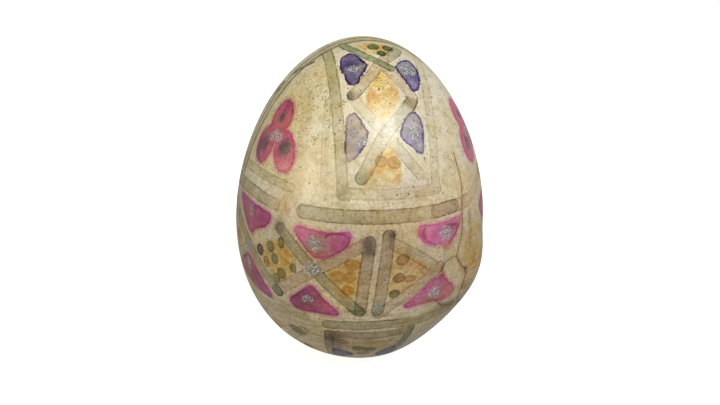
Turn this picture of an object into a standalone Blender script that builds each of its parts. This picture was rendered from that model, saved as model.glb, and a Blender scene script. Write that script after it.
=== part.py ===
"""A painted hen's egg in one solid, standing on a small flat spot at its blunt end.

Metres, +Z up along the egg's long axis, with the origin in the middle of the flat spot.
The painted front faces -Y, and longitudes are counted from it towards +X.
"""

import math

import bpy
import numpy as np

# Driving dimensions of the sound egg, in metres.
EGG_LENGTH = 0.0570
EGG_WIDTH = 0.04355
WIDEST_SHIFT = 0.00357
REST_RADIUS = 0.0045

# The grid of the shell: rings from the flat spot to the tip, and columns round it in degrees.
RING_COUNT = 40
COLUMN_STEP = 5.0
FINE_STEP = 1.25
FINE_SECTOR = (25.0, 75.0)

# The crack: (height in metres, longitude in degrees) from its top down to the broken corner.
CRACK_ROUTE = (
    (0.0405, 51.0),
    (0.0364, 53.0),
    (0.0320, 52.5),
    (0.0290, 51.0),
    (0.0262, 48.0),
    (0.0238, 47.0),
    (0.0220, 50.0),
    (0.0205, 56.0),
    (0.0180, 57.0),
    (0.0162, 55.0),
    (0.0145, 58.0),
)
CRACK_DEPTH = 0.00013
CRACK_HALF_WIDTH = 0.00040
CRACK_FADE = 0.0012
PULL_SECTOR = 22.0

# The broken corner at the lower right: shell pushed out beside the crack, and flattened under it.
BULGE = {"height": 0.0181, "longitude": 76.0, "half_height": 0.0076, "half_width": 0.0105, "lift": 0.00078}
FLAT = {"height": 0.0076, "longitude": 51.0, "half_height": 0.0070, "half_width": 0.0105, "lift": -0.00056}
BULGE_EDGE_SOFTNESS = 0.0012

SHELL_COLOUR = (0.61, 0.53, 0.34, 1.0)
SHELL_ROUGHNESS = 0.42


def clear_scene():
    for thing in list(bpy.data.objects):
        bpy.data.objects.remove(thing, do_unlink=True)


def radius_at(z):
    """Radius of the sound egg at z metres above its middle.

    Half the width times the root of (L^2 - 4z^2) / (L^2 + 8wz + 4w^2), where w moves the
    widest ring towards the blunt end.
    """
    length, shift = EGG_LENGTH, WIDEST_SHIFT
    share = (length**2 - 4.0 * z**2) / (length**2 + 8.0 * shift * z + 4.0 * shift**2)
    return 0.5 * EGG_WIDTH * np.sqrt(np.maximum(share, 0.0))


def flat_spot_level():
    """The z, from the middle, at which the egg is as wide as its flat spot."""
    width, radius = EGG_WIDTH**2, REST_RADIUS**2
    slope = 8.0 * WIDEST_SHIFT * radius
    rest = 0.25 * width * EGG_LENGTH**2 - radius * (EGG_LENGTH**2 + 4.0 * WIDEST_SHIFT**2)
    return (-slope - math.sqrt(slope**2 + 4.0 * width * rest)) / (2.0 * width)


def profile():
    """Rings from the flat spot up to just below the tip: their z, radius and outward normal."""
    bottom = flat_spot_level()
    first_angle = math.acos(-2.0 * bottom / EGG_LENGTH)
    angles = np.linspace(first_angle, math.pi, RING_COUNT + 1)[:-1]
    z = -0.5 * EGG_LENGTH * np.cos(angles)
    radius = radius_at(z)
    along_z = 0.5 * EGG_LENGTH * np.sin(angles)
    step = 1e-6
    along_radius = (radius_at(z + step) - radius_at(z - step)) / (2.0 * step) * along_z
    size = np.hypot(along_z, along_radius)
    return z - bottom, radius, along_z / size, -along_radius / size


def column_longitudes():
    """Columns round the egg in degrees, closer together in the cracked sector."""
    low, high = FINE_SECTOR
    return np.concatenate(
        (
            np.arange(-180.0, low, COLUMN_STEP),
            np.arange(low, high, FINE_STEP),
            np.arange(high, 180.0, COLUMN_STEP),
        )
    )


def crack_longitude(height):
    """Longitude of the crack at each height, straight between the route's points."""
    heights, longitudes = np.array(CRACK_ROUTE)[::-1].T
    return np.interp(height, heights, longitudes)


def pull_to_crack(longitude, height):
    """Slide the columns sideways, so that one of them runs along the crack."""
    middle = 0.5 * sum(FINE_SECTOR)
    nearness = np.clip(1.0 - np.abs(longitude - middle) / PULL_SECTOR, 0.0, 1.0)
    weight = nearness * nearness * (3.0 - 2.0 * nearness)
    return longitude + weight * (crack_longitude(height) - middle)


def swelling(patch, longitude, height, radius):
    """A smooth hump or hollow: its lift times (1 - d^2)^2, where d is 1 on an ellipse round it."""
    across = np.radians(longitude - patch["longitude"]) * radius / patch["half_width"]
    up = (height - patch["height"]) / patch["half_height"]
    inside = np.clip(1.0 - across**2 - up**2, 0.0, 1.0)
    return patch["lift"] * inside**2


def damage(longitude, height, radius):
    """How far the shell is moved outwards by the crack, the bulge and the flattened corner."""
    beside = np.radians(longitude - crack_longitude(height)) * radius
    top, bottom = CRACK_ROUTE[0][0], CRACK_ROUTE[-1][0]
    from_nearer_end = np.minimum(top - height, height - bottom)
    open_here = np.clip(from_nearer_end / CRACK_FADE, 0.0, 1.0)
    groove = -CRACK_DEPTH * np.exp(-((beside / CRACK_HALF_WIDTH) ** 2)) * open_here
    right_of_crack = np.clip(beside / BULGE_EDGE_SOFTNESS, 0.0, 1.0)
    bulge = swelling(BULGE, longitude, height, radius) * right_of_crack
    return groove + bulge + swelling(FLAT, longitude, height, radius)


def shell_points():
    """The grid of points, ring by ring from the flat spot, as an array of rings x columns x 3."""
    height, radius, normal_out, normal_up = (values[:, None] for values in profile())
    longitude = pull_to_crack(column_longitudes()[None, :], height)
    moved = damage(longitude, height, radius)
    moved[0] = 0.0
    out = radius + normal_out * moved
    up = height + normal_up * moved
    turn = np.radians(longitude)
    return np.stack((out * np.sin(turn), -out * np.cos(turn), up), axis=-1)


def shell_faces(rings, columns):
    """Quads between the rings, a fan at the tip, and one flat face at the bottom."""
    index = np.arange(rings * columns).reshape(rings, columns)
    beside = np.roll(index, -1, axis=1)
    quads = np.stack((index[:-1], beside[:-1], beside[1:], index[1:]), axis=-1).reshape(-1, 4)
    tip = rings * columns
    fan = np.stack((index[-1], beside[-1], np.full(columns, tip)), axis=-1)
    flat_spot = index[0][::-1]
    return quads.tolist() + fan.tolist() + [flat_spot.tolist()]


def make_shell():
    points = shell_points()
    rings, columns = points.shape[:2]
    tip = np.array([[0.0, 0.0, 0.5 * EGG_LENGTH - flat_spot_level()]])
    vertices = np.concatenate((points.reshape(-1, 3), tip))
    mesh = bpy.data.meshes.new("egg")
    mesh.from_pydata(vertices.tolist(), [], shell_faces(rings, columns))
    mesh.shade_smooth()
    mesh.set_sharp_from_angle(angle=math.radians(30.0))
    egg = bpy.data.objects.new("egg", mesh)
    bpy.context.scene.collection.objects.link(egg)
    return egg


def eggshell_material():
    """Dyed eggshell: calcite with a thin varnish of dye, matt to silky."""
    material = bpy.data.materials.new("painted_eggshell")
    material.use_nodes = True
    shader = material.node_tree.nodes["Principled BSDF"]
    shader.inputs["Base Color"].default_value = SHELL_COLOUR
    shader.inputs["Roughness"].default_value = SHELL_ROUGHNESS
    shader.inputs["Metallic"].default_value = 0.0
    return material


clear_scene()
egg = make_shell()
egg.data.materials.append(eggshell_material())
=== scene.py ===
# %% [markdown]
# # A painted egg, from its outline to its dyes
#
# This lesson rebuilds an old painted hen's egg. The real thing is one piece: a thin shell of calcite with
# water-based dyes brushed on it, dabs of silver glitter, years of grime and one crack. The measured solid
# is loaded first and stays fixed. One finely divided surface then takes its place, in the same box, and
# carries everything that the brush left on the shell.

import math

import bpy
import numpy as np
from mathutils import Matrix


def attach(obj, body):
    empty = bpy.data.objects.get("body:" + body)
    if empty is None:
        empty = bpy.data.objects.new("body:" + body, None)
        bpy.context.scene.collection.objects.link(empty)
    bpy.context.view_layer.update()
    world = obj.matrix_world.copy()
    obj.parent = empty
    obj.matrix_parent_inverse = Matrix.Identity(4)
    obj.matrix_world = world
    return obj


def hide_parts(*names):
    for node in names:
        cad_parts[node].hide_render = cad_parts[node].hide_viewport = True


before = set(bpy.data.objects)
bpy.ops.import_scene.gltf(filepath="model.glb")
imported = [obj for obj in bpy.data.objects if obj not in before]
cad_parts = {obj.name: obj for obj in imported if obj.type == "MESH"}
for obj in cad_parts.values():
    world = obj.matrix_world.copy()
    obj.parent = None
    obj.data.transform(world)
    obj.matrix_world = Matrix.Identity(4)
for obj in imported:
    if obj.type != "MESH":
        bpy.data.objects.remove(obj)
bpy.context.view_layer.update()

# %% [markdown]
# ## The camera
#
# The outline in the photograph fits an egg seen from 20 degrees above the horizon through a lens that
# takes in 30 degrees from top to bottom, and the picture is turned by a degree and a half. One function
# places the camera, and later the lamps, by angles round the egg. A lens shift moves the picture without
# turning the camera, which keeps the perspective as it is.

# %% Place the camera
MM = 0.001
PHOTO_WIDTH, PHOTO_HEIGHT = 720, 405
EGG_MIDDLE_PIXEL_Y = 199.65
CAMERA_ELEVATION = 20.0
CAMERA_ROLL = 1.6
VIEW_UP_DOWN = math.radians(30.0)
CAMERA_DISTANCE = 133.8 * MM
EGG_MIDDLE_HEIGHT = 28.03 * MM
SENSOR_WIDTH = 36.0


def aimed(azimuth, elevation, distance, roll=0.0):
    """Where a thing stands that faces the egg's middle, from so many degrees round it and above it."""
    turn, rise, lean = np.radians((azimuth, elevation, roll))
    back = np.array((math.sin(turn) * math.cos(rise), -math.cos(turn) * math.cos(rise), math.sin(rise)))
    level = np.array((math.cos(turn), math.sin(turn), 0.0))
    right = math.cos(lean) * level + math.sin(lean) * np.cross(back, level)
    place = np.eye(4)
    place[:3, :3] = np.column_stack((right, np.cross(back, right), back))
    place[:3, 3] = np.array((0.0, 0.0, EGG_MIDDLE_HEIGHT)) + distance * back
    return Matrix(place.tolist())


def add_object(name, data):
    thing = bpy.data.objects.new(name, data)
    bpy.context.scene.collection.objects.link(thing)
    return thing


camera = add_object("camera", bpy.data.cameras.new("camera"))
camera.matrix_world = aimed(0.0, CAMERA_ELEVATION, CAMERA_DISTANCE, CAMERA_ROLL)
half_width = math.tan(0.5 * VIEW_UP_DOWN) * PHOTO_WIDTH / PHOTO_HEIGHT
camera.data.sensor_fit = "HORIZONTAL"
camera.data.sensor_width = SENSOR_WIDTH
camera.data.lens = 0.5 * SENSOR_WIDTH / half_width
camera.data.shift_y = (EGG_MIDDLE_PIXEL_Y - 0.5 * PHOTO_HEIGHT) / PHOTO_WIDTH
camera.data.clip_start = 0.01
bpy.context.scene.camera = camera
print("lens, mm:", round(camera.data.lens, 2))

# %% [markdown]
# ## The outline of an egg
#
# An egg is a surface of revolution, blunt at one end and pointed at the other. A lathe, a squashed sphere
# or a Subdivision Surface could give the form, but a formula gives it exactly, and it also says where any
# point of the shell is. A place on the shell is written here as a longitude, in degrees from the painted
# front towards the right, and a share, in per cent of the way along the shell from the blunt pole to the
# tip. Lengths are in millimetres until the mesh is made.

# %% Work out the profile
EGG_LENGTH = 57.0
EGG_WIDTH = 43.55
WIDEST_SHIFT = 3.57
REST_RADIUS = 4.5
PROFILE_POINTS = 8001


def radius_at(z):
    """Radius at z mm above the egg's middle.

    Half the width times the root of (L^2 - 4z^2) / (L^2 + 8wz + 4w^2), where w moves the widest ring
    towards the blunt end.
    """
    length, shift = EGG_LENGTH, WIDEST_SHIFT
    share = (length**2 - 4.0 * z**2) / (length**2 + 8.0 * shift * z + 4.0 * shift**2)
    return 0.5 * EGG_WIDTH * np.sqrt(np.maximum(share, 0.0))


profile_z = -0.5 * EGG_LENGTH * np.cos(np.linspace(0.0, math.pi, PROFILE_POINTS))
profile_radius = radius_at(profile_z)
profile_walked = np.concatenate(([0.0], np.cumsum(np.hypot(np.diff(profile_z), np.diff(profile_radius)))))
MERIDIAN = profile_walked[-1]
profile_share = 100.0 * profile_walked / MERIDIAN
lower_half = profile_z < -0.25 * EGG_LENGTH
flat_level = np.interp(REST_RADIUS, profile_radius[lower_half], profile_z[lower_half])
profile_height = np.maximum(profile_z - flat_level, 0.0)
slope_size = np.hypot(np.gradient(profile_z), np.gradient(profile_radius))
profile_out = np.gradient(profile_z) / slope_size
profile_up = -np.gradient(profile_radius) / slope_size


def on_shell(longitude, share):
    """Points on the sound shell: the profile at that share, turned about the egg's axis to that longitude."""
    radius = np.interp(share, profile_share, profile_radius)
    height = np.interp(share, profile_share, profile_height)
    angle = np.radians(longitude)
    return np.stack((radius * np.sin(angle), -radius * np.cos(angle), height), axis=-1)


print("from pole to pole along the shell, mm:", round(MERIDIAN, 1))

# %% [markdown]
# ## A grid that is finest where the eye looks
#
# The paint is stored on the points of the mesh, so the grid decides how crisp it can be. Evenly spaced
# columns would waste half of the points on the back. Here they stand closer on the painted front, and
# closer still at the crack: the running total of a density, turned round, gives their longitudes.

# %% Lay out rings and columns
COLUMNS = 400
RINGS = 245
FRONT_MIDDLE, FRONT_REACH, FRONT_GAIN = 5.0, 120.0, 1.3
CRACK_MIDDLE, CRACK_REACH, CRACK_GAIN = 50.0, 9.0, 1.2


def column_longitudes():
    """Longitudes in degrees whose spacing is the inverse of a density with two smooth humps."""
    fine = np.linspace(-180.0, 180.0, 7201)
    from_front = np.clip(np.abs(fine - FRONT_MIDDLE) / FRONT_REACH, 0.0, 1.0)
    density = 1.0 + FRONT_GAIN * 0.5 * (1.0 + np.cos(math.pi * from_front))
    density += CRACK_GAIN * np.exp(-(((fine - CRACK_MIDDLE) / CRACK_REACH) ** 2))
    total = np.concatenate(([0.0], np.cumsum(0.5 * (density[1:] + density[:-1]))))
    return np.interp(np.arange(COLUMNS) / COLUMNS * total[-1], total, fine)


column_longitude = column_longitudes()
ring_share = np.linspace(0.0, 100.0, RINGS + 2)[1:-1]
point_longitude = np.concatenate((np.tile(column_longitude, RINGS), (0.0, 0.0)))
point_share = np.concatenate((np.repeat(ring_share, COLUMNS), (0.0, 100.0)))
shell = on_shell(point_longitude, point_share)
print("points:", len(shell), "triangles:", 2 * COLUMNS * RINGS)

# %% [markdown]
# ## Lines that lie on the shell
#
# Brush strokes and cracks are lines on a curved surface. Each is given by a few places on the shell. A
# smooth curve is run through them on the unrolled map and then lifted onto the shell, where true
# distances are measured. The distance of every point from a line is all that is needed to paint a stroke
# of any width or to sink a groove.

# %% Run a line over the shell and measure from it
FAR = 3.0
PATH_STEP = 0.35
STRETCHES_AT_ONCE = 10


def through_points(points):
    """A Catmull-Rom curve through places on the map, as closely spaced places."""
    points = np.asarray(points, dtype=float)
    first, last = 2.0 * points[0] - points[1], 2.0 * points[-1] - points[-2]
    held = np.concatenate(([first], points, [last]))
    spans = []
    for before, start, end, after in zip(held[:-3], held[1:-2], held[2:-1], held[3:]):
        length = np.linalg.norm(on_shell(*start) - on_shell(*end))
        t = np.linspace(0.0, 1.0, max(int(length / PATH_STEP), 2), endpoint=False)[:, None]
        curve = 2.0 * start + (end - before) * t + (2.0 * before - 5.0 * start + 4.0 * end - after) * t**2
        spans.append(0.5 * (curve + (3.0 * start - before - 3.0 * end + after) * t**3))
    return np.concatenate(spans + [points[-1:]])


def line(*places):
    """A smooth line over the shell, as points in mm."""
    return on_shell(*through_points(places).T)


def ring(share, start, end):
    """Part of a ring round the egg, from one longitude to another, as points in mm."""
    count = max(int(abs(end - start)), 2)
    return on_shell(np.linspace(start, end, count), np.full(count, share))


def measure_from(path, reach):
    """Points near a path: their index, their distance from it, how far along it they lie, and its length.

    For each stretch of the path, a point's distance is taken to its nearest spot on that stretch. A few
    stretches are worked through at once, against the points in their own box.
    """
    run = np.diff(path, axis=0)
    run_length = np.linalg.norm(run, axis=1)
    walked = np.concatenate(([0.0], np.cumsum(run_length)))
    found = []
    for first in range(0, len(run), STRETCHES_AT_ONCE):
        piece = slice(first, first + STRETCHES_AT_ONCE)
        corners = path[first : first + STRETCHES_AT_ONCE + 1]
        low, high = corners.min(axis=0) - reach, corners.max(axis=0) + reach
        near = np.flatnonzero(np.all((shell > low) & (shell < high), axis=1))
        offset = shell[near, None, :] - path[:-1][piece][None]
        share = np.clip((offset * run[piece]).sum(axis=2) / run_length[piece] ** 2, 0.0, 1.0)
        gap = np.linalg.norm(offset - share[..., None] * run[piece], axis=2)
        row, best = np.arange(len(near)), gap.argmin(axis=1)
        along = walked[:-1][piece][best] + (share * run_length[piece])[row, best]
        found.append((near, gap[row, best], along))
    return *(np.concatenate(parts) for parts in zip(*found)), walked[-1]


# %% [markdown]
# ## The crack and the crushed corner
#
# The egg was cracked at its lower right: the shell beside the crack is pushed out by less than a
# millimetre, the corner under it is flattened, and fine branches run from a fork. These are real shapes,
# so they move the surface. The same humps and the main crack stand in the measured solid. The branches,
# too fine for it, are added here as narrow grooves.

# %% Move the shell where it is broken
CRACK_TRUNK = (
    (51.8, 67.5), (52.2, 64.5), (52.8, 62), (52.2, 59.7), (50.8, 57), (50.2, 54), (49.5, 51), (48, 49),
    (46.2, 46.6),
)
CRACK_RIGHT = (
    (46.2, 46.6), (48, 45.3), (50, 44.3), (52.5, 43), (55, 42.3), (56.6, 40.5), (56, 38.7), (56.2, 37),
    (55.2, 35.4), (56.4, 34.2),
)
CRACK_LEFT = ((46.2, 46.6), (42.2, 46.6), (38.6, 45.8), (37.5, 44.8), (38.4, 43.9), (39.6, 43.2))
FOLD = ((32, 38.2), (35, 38), (38, 37.1), (41.5, 35.6), (47, 34.4), (53.5, 33.3), (60, 33.2), (69, 32))
BULGE = {"height": 18.1, "longitude": 76.0, "half_height": 7.6, "half_width": 10.5, "lift": 0.74}
FLAT = {"height": 7.6, "longitude": 51.0, "half_height": 7.0, "half_width": 10.5, "lift": -0.56}
BULGE_EDGE_SOFTNESS = 1.0
GROOVE_HALF_WIDTH = 0.20
GROOVE_FADE, GROOVE_END = 1.5, 0.2
SPOT_KEPT_FLAT, SPOT_FADE = 0.2, 2.0


def swelling(patch):
    """A smooth hump or hollow: its lift times (1 - d^2)^2, where d is 1 on an ellipse round it."""
    across = np.radians(point_longitude - patch["longitude"]) * point_radius / patch["half_width"]
    up = (point_height - patch["height"]) / patch["half_height"]
    return patch["lift"] * np.clip(1.0 - across**2 - up**2, 0.0, 1.0) ** 2


def groove(places, depth, half_width=GROOVE_HALF_WIDTH):
    """A groove along a line: minus its depth times exp(-(distance / half width)^2), fading at its ends."""
    index, gap, along, length = measure_from(line(*places), 3.0 * half_width)
    open_here = np.clip(np.minimum(along, length - along) / GROOVE_FADE, GROOVE_END, 1.0)
    deepest = np.zeros(len(shell))
    np.minimum.at(deepest, index, -depth * open_here * np.exp(-((gap / half_width) ** 2)))
    return deepest


def ripples(seed, waves, shortest, longest, height):
    """Slight unevenness: a sum of plane waves of random direction, length and phase, kept at or below 0."""
    draw = np.random.default_rng(seed)
    direction = draw.normal(size=(waves, 3))
    direction /= np.linalg.norm(direction, axis=1, keepdims=True)
    length = draw.uniform(shortest, longest, waves)
    phase = draw.uniform(0.0, 2.0 * math.pi, waves)
    total = np.sin(2.0 * math.pi * shell @ (direction / length[:, None]).T + phase).sum(axis=1)
    return height * (total - total.max()) / (2.0 * total.std())


point_height = shell[:, 2]
point_radius = np.hypot(shell[:, 0], shell[:, 1])
crack_longitude, crack_share = np.array(CRACK_TRUNK + CRACK_RIGHT[1:])[::-1].T
from_crack = point_longitude - np.interp(point_share, crack_share, crack_longitude)
right_of_crack = np.radians(from_crack) * point_radius
lift = swelling(BULGE) * np.clip(right_of_crack / BULGE_EDGE_SOFTNESS, 0.0, 1.0) + swelling(FLAT)
lift += np.minimum(groove(CRACK_TRUNK, 0.06), groove(CRACK_RIGHT, 0.14))
lift += groove(CRACK_LEFT, 0.08) + groove(FOLD, 0.10, 0.4)
lift += ripples(seed=4, waves=28, shortest=2.2, longest=9.0, height=0.010)
lift *= np.clip((point_height - SPOT_KEPT_FLAT) / SPOT_FADE, 0.0, 1.0)
print("moved out by up to", round(lift.max(), 2), "mm and in by up to", round(-lift.min(), 2), "mm")

# %% [markdown]
# ## A brush and a box of dyes
#
# A dye is a stain: the pale shell shows through it, so it is kept as what it lets through, and dyes that
# cross multiply. A picture file could hold the ornament, but it blurs close up. Instead each layer of
# paint keeps, for every point of the shell, the signed distance to the edge of the nearest stroke, below
# zero inside. Between the points that distance runs evenly, so the material can draw a sharp and ragged
# edge from it at any size.

# %% Make the brush
POOL_FADE = 0.7
DYES = {
    "olive": "#CFCCBE", "faint olive": "#E6E4D9", "haze": "#F0EDE4", "mist": "#F7F5F0", "grey": "#D6CDC6",
    "tan": "#E6DCD4", "rose grey": "#E6D8D2", "sage": "#B6C4B2", "green": "#A9BAA4", "brown": "#B3A590",
    "dark": "#857C7E", "magenta": "#F0A2EC", "wine": "#DC8CD6", "crimson": "#EA97D0", "purple": "#7C70BC",
    "lilac": "#B6B0D6", "mauve": "#CDC0D8", "amber": "#F8DA8A", "pale amber": "#FBE9BA", "gold": "#F8D888",
    "orange": "#F8C078", "olive ring": "#B4BBA6", "umber ring": "#D8C0A2", "honey ring": "#ECD6AE",
    "dun ring": "#E4D4BC", "moss ring": "#9CA494", "bottle": "#74906F", "plum": "#8A8494",
    "clear": "#FFFFFF", "dull": "#D2D0CF",
}


def linear(code):
    """An sRGB hex code as linear light, three numbers from 0 to 1."""
    levels = np.array([int(code[place : place + 2], 16) for place in (1, 3, 5)]) / 255.0
    return np.where(levels <= 0.04045, levels / 12.92, ((levels + 0.055) / 1.055) ** 2.4)


def new_layer():
    return {"edge": np.full(len(shell), FAR), "dye": np.ones((len(shell), 3))}


def covered(layer):
    return f"{100.0 * (layer['edge'] < 0.0).mean():.1f} per cent of the points"


def put(layer, index, edge, dye):
    """Keep, at each point, the stroke whose edge it is deepest inside."""
    order = np.argsort(-edge, kind="stable")
    index, edge, dye = index[order], edge[order], dye[order]
    deeper = edge < layer["edge"][index]
    layer["edge"][index[deeper]] = edge[deeper]
    layer["dye"][index[deeper]] = dye[deeper]


def brush(layer, path, width, dye, start=None, end=None, pool=2.6):
    """A round brush drawn along a path; at an end with a dye of its own, that dye has pooled."""
    index, gap, along, length = measure_from(path, 0.5 * width + FAR)
    colour = np.tile(linear(DYES[dye]), (len(gap), 1))
    for pooled, from_end in ((start, along), (end, length - along)):
        if pooled:
            share = np.clip((pool - from_end) / POOL_FADE, 0.0, 1.0)[:, None]
            colour += share * (linear(DYES[pooled]) - colour)
    put(layer, index, gap - 0.5 * width, colour)


def strokes(layer, *rows):
    """Brush along lines, each given by its places and then its width, its dye and its pooled ends."""
    for places, *how in rows:
        brush(layer, line(*places), *how)


def tint(colours, longitude, share, wide, high, code, strength=0.8, crisp=1.0):
    """Draw colours towards another one in a soft oval.

    Its share is strength times exp(-d^2), where d is 1 at the rim; a crisp spot uses a higher power of d.
    """
    middle = on_shell(longitude, share)
    north = on_shell(longitude, share + 0.5) - on_shell(longitude, share - 0.5)
    offset = shell - middle
    along = offset @ (north / np.linalg.norm(north))
    beside = (offset**2).sum(axis=1) - along**2
    from_middle = 4.0 * (np.maximum(beside, 0.0) / wide**2 + along**2 / high**2)
    weight = (strength * np.exp(-(from_middle**crisp)))[:, None]
    colours += weight * (linear(code) - colours)


def tints(colours, *spots):
    """Tint a few spots, each given by what tint() asks for after the colours."""
    for spot in spots:
        tint(colours, *spot)


print("dyes:", len(DYES))

# %% [markdown]
# Petals, blots and triangles are areas, not strokes. Each is an outline of a few places on the shell,
# its corners rounded by cutting them off twice, or an oval. It is laid flat on the plane that touches
# the shell in its middle, and the signed distance to it is found there.

# %% Fill an outline
CORNER_CUT = 0.2
EGG_CORE = np.array((0.0, 0.0, 0.42 * EGG_LENGTH))


def rounded(corners):
    """Cut each corner of a closed outline off, a fixed share of the way along its sides, twice over."""
    points = np.asarray(corners, dtype=float)
    for _ in range(2):
        following = np.roll(points, -1, axis=0)
        pair = (points + CORNER_CUT * (following - points), following + CORNER_CUT * (points - following))
        points = np.stack(pair, axis=1).reshape(-1, 2)
    return points


def moved(longitude, share, right, up):
    """The place that lies so many mm to the right of another and above it."""
    radius = np.interp(share, profile_share, profile_radius)
    return longitude + np.degrees(right / radius), share + 100.0 * up / MERIDIAN


def oval(longitude, share, wide, high, turned=0.0):
    """An oval of that width and height in mm, turned anticlockwise by some degrees."""
    angle = np.linspace(0.0, 2.0 * math.pi, 24, endpoint=False)
    across, climb = 0.5 * wide * np.cos(angle), 0.5 * high * np.sin(angle)
    turn = math.radians(turned)
    right = across * math.cos(turn) - climb * math.sin(turn)
    up = across * math.sin(turn) + climb * math.cos(turn)
    return np.stack(moved(longitude, share, right, up), axis=-1)


def fill(layer, outline, dye):
    """Signed distance to a closed outline: even-odd crossings tell inside from outside."""
    rim = on_shell(*np.asarray(outline).T)
    middle = rim.mean(axis=0)
    outward = middle - EGG_CORE
    outward /= np.linalg.norm(outward)
    east = np.cross((0.0, 0.0, 1.0), outward)
    east /= np.linalg.norm(east)
    plane = np.stack((east, np.cross(outward, east)), axis=1)
    reach = np.linalg.norm(rim - middle, axis=1).max() + FAR
    near = np.flatnonzero(np.linalg.norm(shell - middle, axis=1) < reach)
    spot = ((shell[near] - middle) @ plane)[:, None, :]
    start = ((rim - middle) @ plane)[None]
    side = np.roll(start, -1, axis=1) - start
    offset = spot - start
    share = np.clip((offset * side).sum(axis=2) / (side**2).sum(axis=2), 0.0, 1.0)
    gap = np.linalg.norm(offset - share[..., None] * side, axis=2).min(axis=1)
    crosses = (offset[..., 1] >= 0.0) != (offset[..., 1] - side[..., 1] >= 0.0)
    tilt = side[..., 0] * offset[..., 1] - side[..., 1] * offset[..., 0]
    inside = (crosses & ((tilt > 0.0) == (side[..., 1] > 0.0))).sum(axis=1) % 2 == 1
    colour = np.tile(linear(DYES[dye]), (len(near), 1))
    put(layer, near, np.where(inside, -gap, gap), colour)


def areas(layer, dye, *outlines, middle=0.0, side=1.0):
    """Fill outlines with rounded corners; their longitudes count from a middle one, or back from it."""
    for corners in outlines:
        fill(layer, rounded([(middle + side * right, share) for right, share in corners]), dye)


def dots(layer, dye, *spots):
    """Fill ovals, each given by its longitude, share, width, height and turn."""
    for spot in spots:
        fill(layer, oval(*spot), dye)


early, late = new_layer(), new_layer()
petals, blots, amber, rings, silver, cracks = (new_layer() for _ in range(6))

# %% [markdown]
# ## The belt
#
# The ornament is a common one for painted eggs. A belt runs round the widest part between two bands, and
# crossed strokes cut it into fields: pink triangles above and below each crossing, a yellow lozenge with
# small rings between two crossings, and a dab of silver where the strokes cross. The strokes are laid in
# two layers, so that the later one shows over the earlier one.

# %% Paint the belt's front
STROKE = 2.0

for share, start, end, width, dye in (
    (57.3, -24.5, 45, 2.25, "olive"), (61.6, -6, 36, 1.8, "haze"), (33.9, -80, -24, 1.6, "haze"),
):
    brush(early, ring(share, start, end), width, dye)
brush(late, ring(57.3, 34.5, 55), 2.2, "rose grey")
strokes(
    early,
    (((-79, 58), (-58, 58.1), (-39, 57.3)), 2, "olive"),
    (((-77, 62.2), (-54, 62.2), (-31.5, 61.3)), 1.5, "faint olive"),
    (((-13.4, 33), (-1.5, 33.3), (13.5, 33.5), (30.5, 33.3), (50, 33.9)), 2, "olive"),
)
tints(
    early["dye"],
    (34, 57.3, 12, 3, "#E8E2DE", 0.95, 1.6), (8, 33.3, 18, 3, "#C2C4B4"),
    (43, 33.7, 10, 3, "#F0ECE2", 0.9, 1.6), (-38, 57.2, 3.6, 3, "#F2EFE6", 0.9),
    (-31, 61.2, 5, 2.4, "#F6F4EC", 0.9),
)

strokes(
    early,
    (((-34.4, 52.9), (-18.4, 46.1), (0.8, 37.2)), STROKE, "olive", None, "green", 1.9),
    (((12.2, 53.6), (10.4, 45), (8.8, 37.3)), STROKE, "grey", None, "sage", 1.6),
    (((-68, 51.2), (-55, 46.8), (-36.8, 38.8)), STROKE, "olive", None, "green", 1.6),
)
tint(early["dye"], 13.6, 53.4, 2, 1.6, "#8E868A", 0.9)
strokes(
    late,
    (((56, 57.3), (66, 58.8), (79, 61)), 2, "haze"),
    (((4.5, 52.4), (2.8, 45), (1.4, 37.4)), STROKE, "grey"),
    (((9.4, 36.6), (22, 41.2), (36.3, 45.6)), STROKE, "tan", "rose grey"),
    (((15, 51.8), (24, 49.2), (32, 46.4)), STROKE, "faint olive"),
    (((-38, 38.8), (-19, 45.4), (1.6, 51.9)), STROKE, "rose grey"),
    (((-72, 40.8), (-58, 45.2)), STROKE, "faint olive"),
    (((28.6, 54.3), (27.2, 53.4), (29, 51.9), (33, 50.6)), 0.4, "rose grey"),
    (((40, 54), (45.6, 53.5), (46.3, 52.4), (43.5, 51.2), (41, 50.2)), 0.4, "rose grey"),
    (((-13.5, 53), (-12.5, 53.5), (-9, 53.9), (-5.5, 53.7), (-3.9, 52.9), (-4.3, 52), (-6, 50.6),
      (-7.5, 50)), 0.4, "rose grey"),
)
print("early strokes:", covered(early), "and late ones:", covered(late))

# %% [markdown]
# The pink dye was laid on thickly and ran: each triangle has a deeper and a paler part, and a red stain
# where it met its neighbour. After an outline is filled, soft spots change the colour of the dye in it.

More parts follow.
